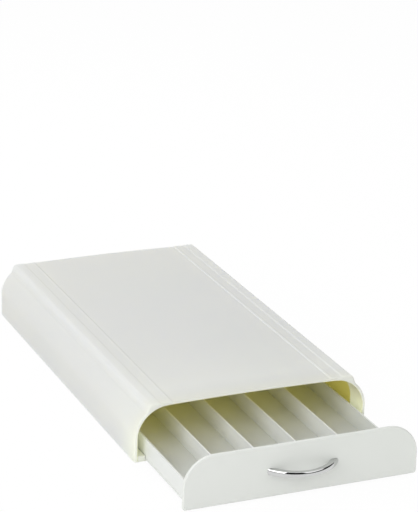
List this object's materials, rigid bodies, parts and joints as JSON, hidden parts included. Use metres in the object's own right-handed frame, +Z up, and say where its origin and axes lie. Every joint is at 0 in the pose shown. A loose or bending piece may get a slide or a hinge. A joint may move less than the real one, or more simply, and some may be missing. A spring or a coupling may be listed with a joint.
{
  "type": "coffee pod drawer",
  "caption": "White coffee capsule drawer: low housing with a raised deck for a coffee machine, and a sliding tray with channels, a round-cornered front and a chrome bow handle.",
  "frame": {"origin": "centre of the housing's footprint, on the plane that the feet stand on", "axes": "+Z up; +Y from the front to the back of the housing, so the drawer opens along -Y; +X to the right, seen from the front"},
  "size_m": [0.237, 0.527, 0.057],
  "materials": {
    "housing_plastic": "satin",
    "base_plastic": "satin",
    "tray_plastic": "satin",
    "divider_plastic": "satin",
    "front_plastic": "satin",
    "handle_chrome": "polished",
    "screw_steel": "zinc plated",
    "foot_rubber": "matte"
  },
  "bodies": {
    "housing": {"housing_shell": "housing_plastic", "base_plate": "base_plastic", "base_screws": "screw_steel", "foot_front_left": "foot_rubber", "foot_front_right": "foot_rubber", "foot_rear_left": "foot_rubber", "foot_rear_right": "foot_rubber"},
    "drawer": {"drawer_tray": "tray_plastic", "divider_1": "divider_plastic", "divider_2": "divider_plastic", "divider_3": "divider_plastic", "divider_4": "divider_plastic", "drawer_front": "front_plastic", "front_screws": "screw_steel", "handle": "handle_chrome", "handle_screws": "screw_steel"}
  },
  "joints": [
    {"name": "drawer_slide", "type": "slide", "parent": "housing", "child": "drawer", "axis": [0, -1, 0], "range_m": [-0.1067, 0.1933]}
  ]
}
